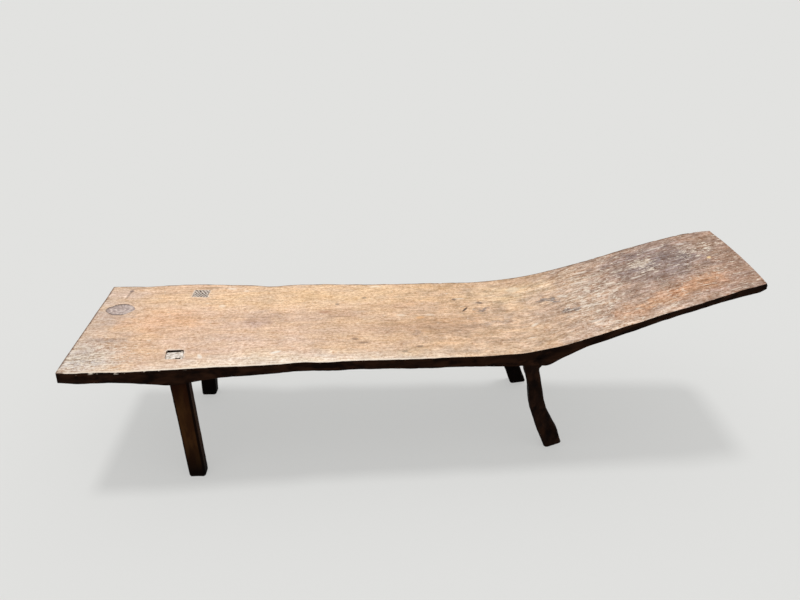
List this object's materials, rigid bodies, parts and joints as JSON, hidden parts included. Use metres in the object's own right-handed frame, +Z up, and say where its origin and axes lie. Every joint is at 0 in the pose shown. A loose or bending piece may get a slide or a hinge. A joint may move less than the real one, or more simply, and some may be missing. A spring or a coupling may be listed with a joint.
{
  "type": "carved wooden daybed",
  "caption": "Low hewn daybed: a long plank that bends up into a headrest, with curved legs cut from the same log under the bend and straight let-in legs at the foot.",
  "frame": {"origin": "on the floor, at the middle of the bed's length and width", "axes": "+X along the bed from the foot end to the raised head end, +Y across it from the left edge to the right edge, +Z up"},
  "size_m": [2.1249, 0.5249, 0.6309],
  "materials": {
    "hewn_log": "adze-hewn hardwood, worn smooth and lightly waxed on top, dark and smoked below",
    "leg_wood": "hewn reddish hardwood, dark with handling",
    "wedge_wood": "split hardwood, pale end grain, unfinished",
    "knot_wood": "dead knot, grey-brown end grain with checks"
  },
  "bodies": {
    "root": {"bed_block": "hewn_log", "foot_leg_left": "leg_wood", "foot_leg_right": "leg_wood", "tenon_slip": "wedge_wood", "tenon_wedge": "wedge_wood", "knot_plug": "knot_wood"}
  },
  "joints": []
}
